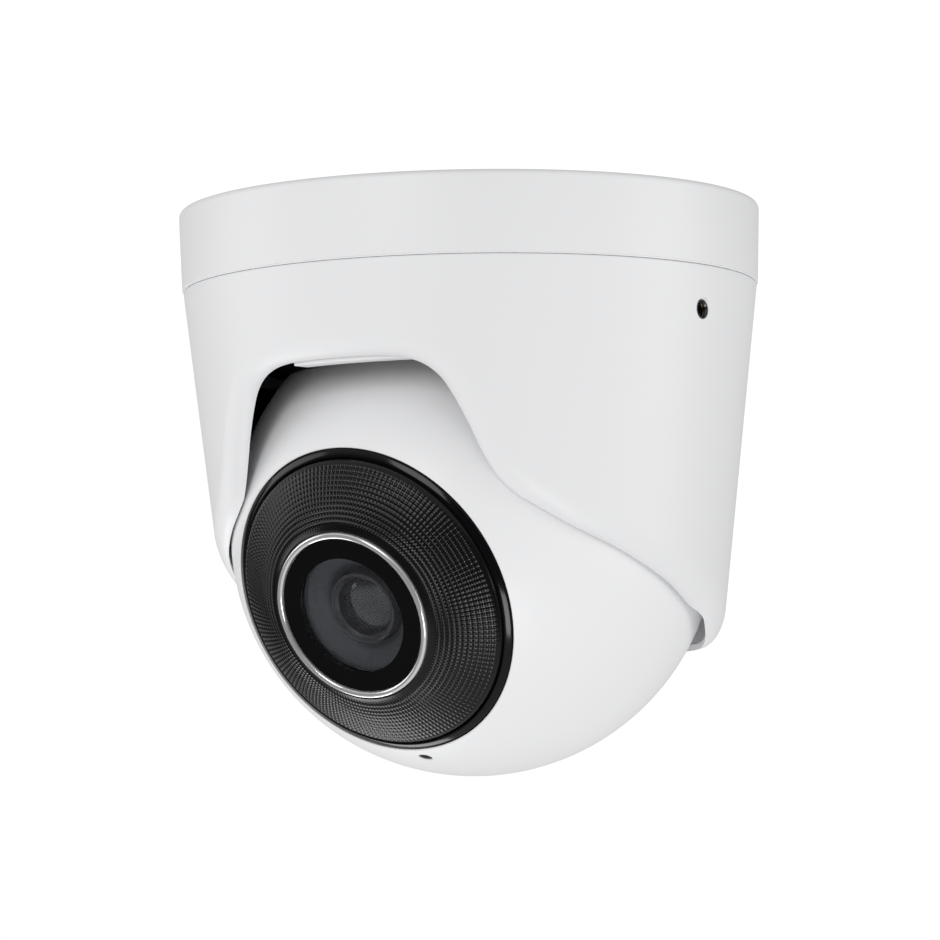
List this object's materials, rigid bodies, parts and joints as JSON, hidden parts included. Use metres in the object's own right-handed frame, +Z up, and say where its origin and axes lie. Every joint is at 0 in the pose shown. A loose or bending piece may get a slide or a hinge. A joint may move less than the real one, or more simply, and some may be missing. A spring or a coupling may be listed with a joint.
{
  "type": "turret dome security camera",
  "caption": "Ceiling camera with a white ball and black lens face held in a tapered arched housing under a round mounting base.",
  "frame": {"origin": "centre of the flat mounting face on top of the base, where the camera meets the ceiling", "axes": "+Z up out of the mounting face into the ceiling, -Y towards the front of the housing's arch, +X to the right seen from the front"},
  "size_m": [0.1292, 0.1292, 0.1258],
  "materials": {
    "white_paint": "satin white powder coat with a fine grain",
    "ball_paint": "smooth satin white paint",
    "black_plastic": "matte black moulding",
    "bezel_black": "black face with fine raised dots in rings",
    "gloss_black": "polished black",
    "shroud_grey": "dark blue-grey moulding",
    "barrel_black": "black anodised",
    "chrome": "bright ring",
    "window_glass": "clear flat glass",
    "lens_glass": "coated lens glass",
    "filter_red": "coated filter pane",
    "sensor_glass": "image sensor under its cover glass",
    "black_rubber": "matte black rubber",
    "pale_plastic": "natural moulding",
    "steel": "plain steel",
    "brass": "turned brass",
    "aluminium": "cast aluminium",
    "circuit_board": "green solder mask",
    "lamp_plastic": "dark tinted lamp",
    "chip_black": "moulded package",
    "thermal_blue": "soft pad",
    "capacitor_blue": "sleeved can"
  },
  "bodies": {
    "base": {"mounting_base": "white_paint", "cable_grommet": "black_rubber", "glide_ring": "pale_plastic", "pressure_spring": "steel"},
    "housing": {"housing_cover": "white_paint", "inner_liner": "black_plastic", "arch_ledge": "white_paint", "lock_screw_left": "steel", "lock_screw_right": "steel", "thread_insert_left": "brass", "thread_insert_right": "brass"},
    "saddle": {"socket_saddle": "black_plastic"},
    "gland": {"gland_body": "black_plastic", "gland_nut": "black_plastic", "gland_seal": "black_rubber"},
    "ball": {"ball_shell": "ball_paint", "rear_cap": "ball_paint", "shell_seal": "black_rubber", "rear_screw_1": "steel", "rear_screw_2": "steel", "rear_screw_3": "steel", "front_bezel": "bezel_black", "face_rim": "gloss_black", "chrome_ring": "chrome", "lens_window": "window_glass", "window_mask": "gloss_black", "window_gasket": "black_rubber", "front_frame": "black_plastic", "led_board": "circuit_board", "infrared_led_1": "lamp_plastic", "infrared_led_2": "lamp_plastic", "infrared_led_3": "lamp_plastic", "infrared_led_4": "lamp_plastic", "lens_shroud": "shroud_grey", "light_baffle": "black_rubber", "lens_barrel": "barrel_black", "front_lens": "lens_glass", "rear_lens": "lens_glass", "lens_lock_ring": "steel", "lens_holder": "black_plastic", "sensor_board": "circuit_board", "image_sensor": "sensor_glass", "main_board": "circuit_board", "ribbon_cable": "pale_plastic", "board_connector": "pale_plastic", "processor": "chip_black", "thermal_pad": "thermal_blue", "heat_sink": "aluminium", "network_transformer": "chip_black", "memory_card_slot": "steel", "capacitor_1": "capacitor_blue", "capacitor_2": "capacitor_blue", "microphone": "aluminium", "microphone_boot": "black_rubber"},
    "filter": {"filter_carriage": "black_plastic", "daylight_filter": "filter_red", "clear_pane": "window_glass"}
  },
  "joints": [
    {"name": "housing_pan", "type": "hinge", "parent": "base", "child": "housing", "pos_m": [0, 0, -0.072], "axis": [0, 0, 1], "range_deg": [-177.5, 177.5]},
    {"name": "ball_swivel", "type": "hinge", "parent": "housing", "child": "saddle", "pos_m": [0, 0, -0.072], "axis": [0, 0, 1], "range_deg": [-12, 22]},
    {"name": "ball_tilt", "type": "hinge", "parent": "saddle", "child": "gland", "pos_m": [0, 0, -0.072], "axis": [0.9962, -0.0872, 0], "range_deg": [-24, 54]},
    {"name": "ball_roll", "type": "hinge", "parent": "gland", "child": "ball", "pos_m": [0, 0, -0.072], "axis": [-0.0796, -0.9101, -0.4067], "range_deg": [-177.5, 177.5]},
    {"name": "filter_slide", "type": "slide", "parent": "ball", "child": "filter", "axis": [0.9962, -0.0872, 0], "range_m": [0, 0.007]}
  ]
}
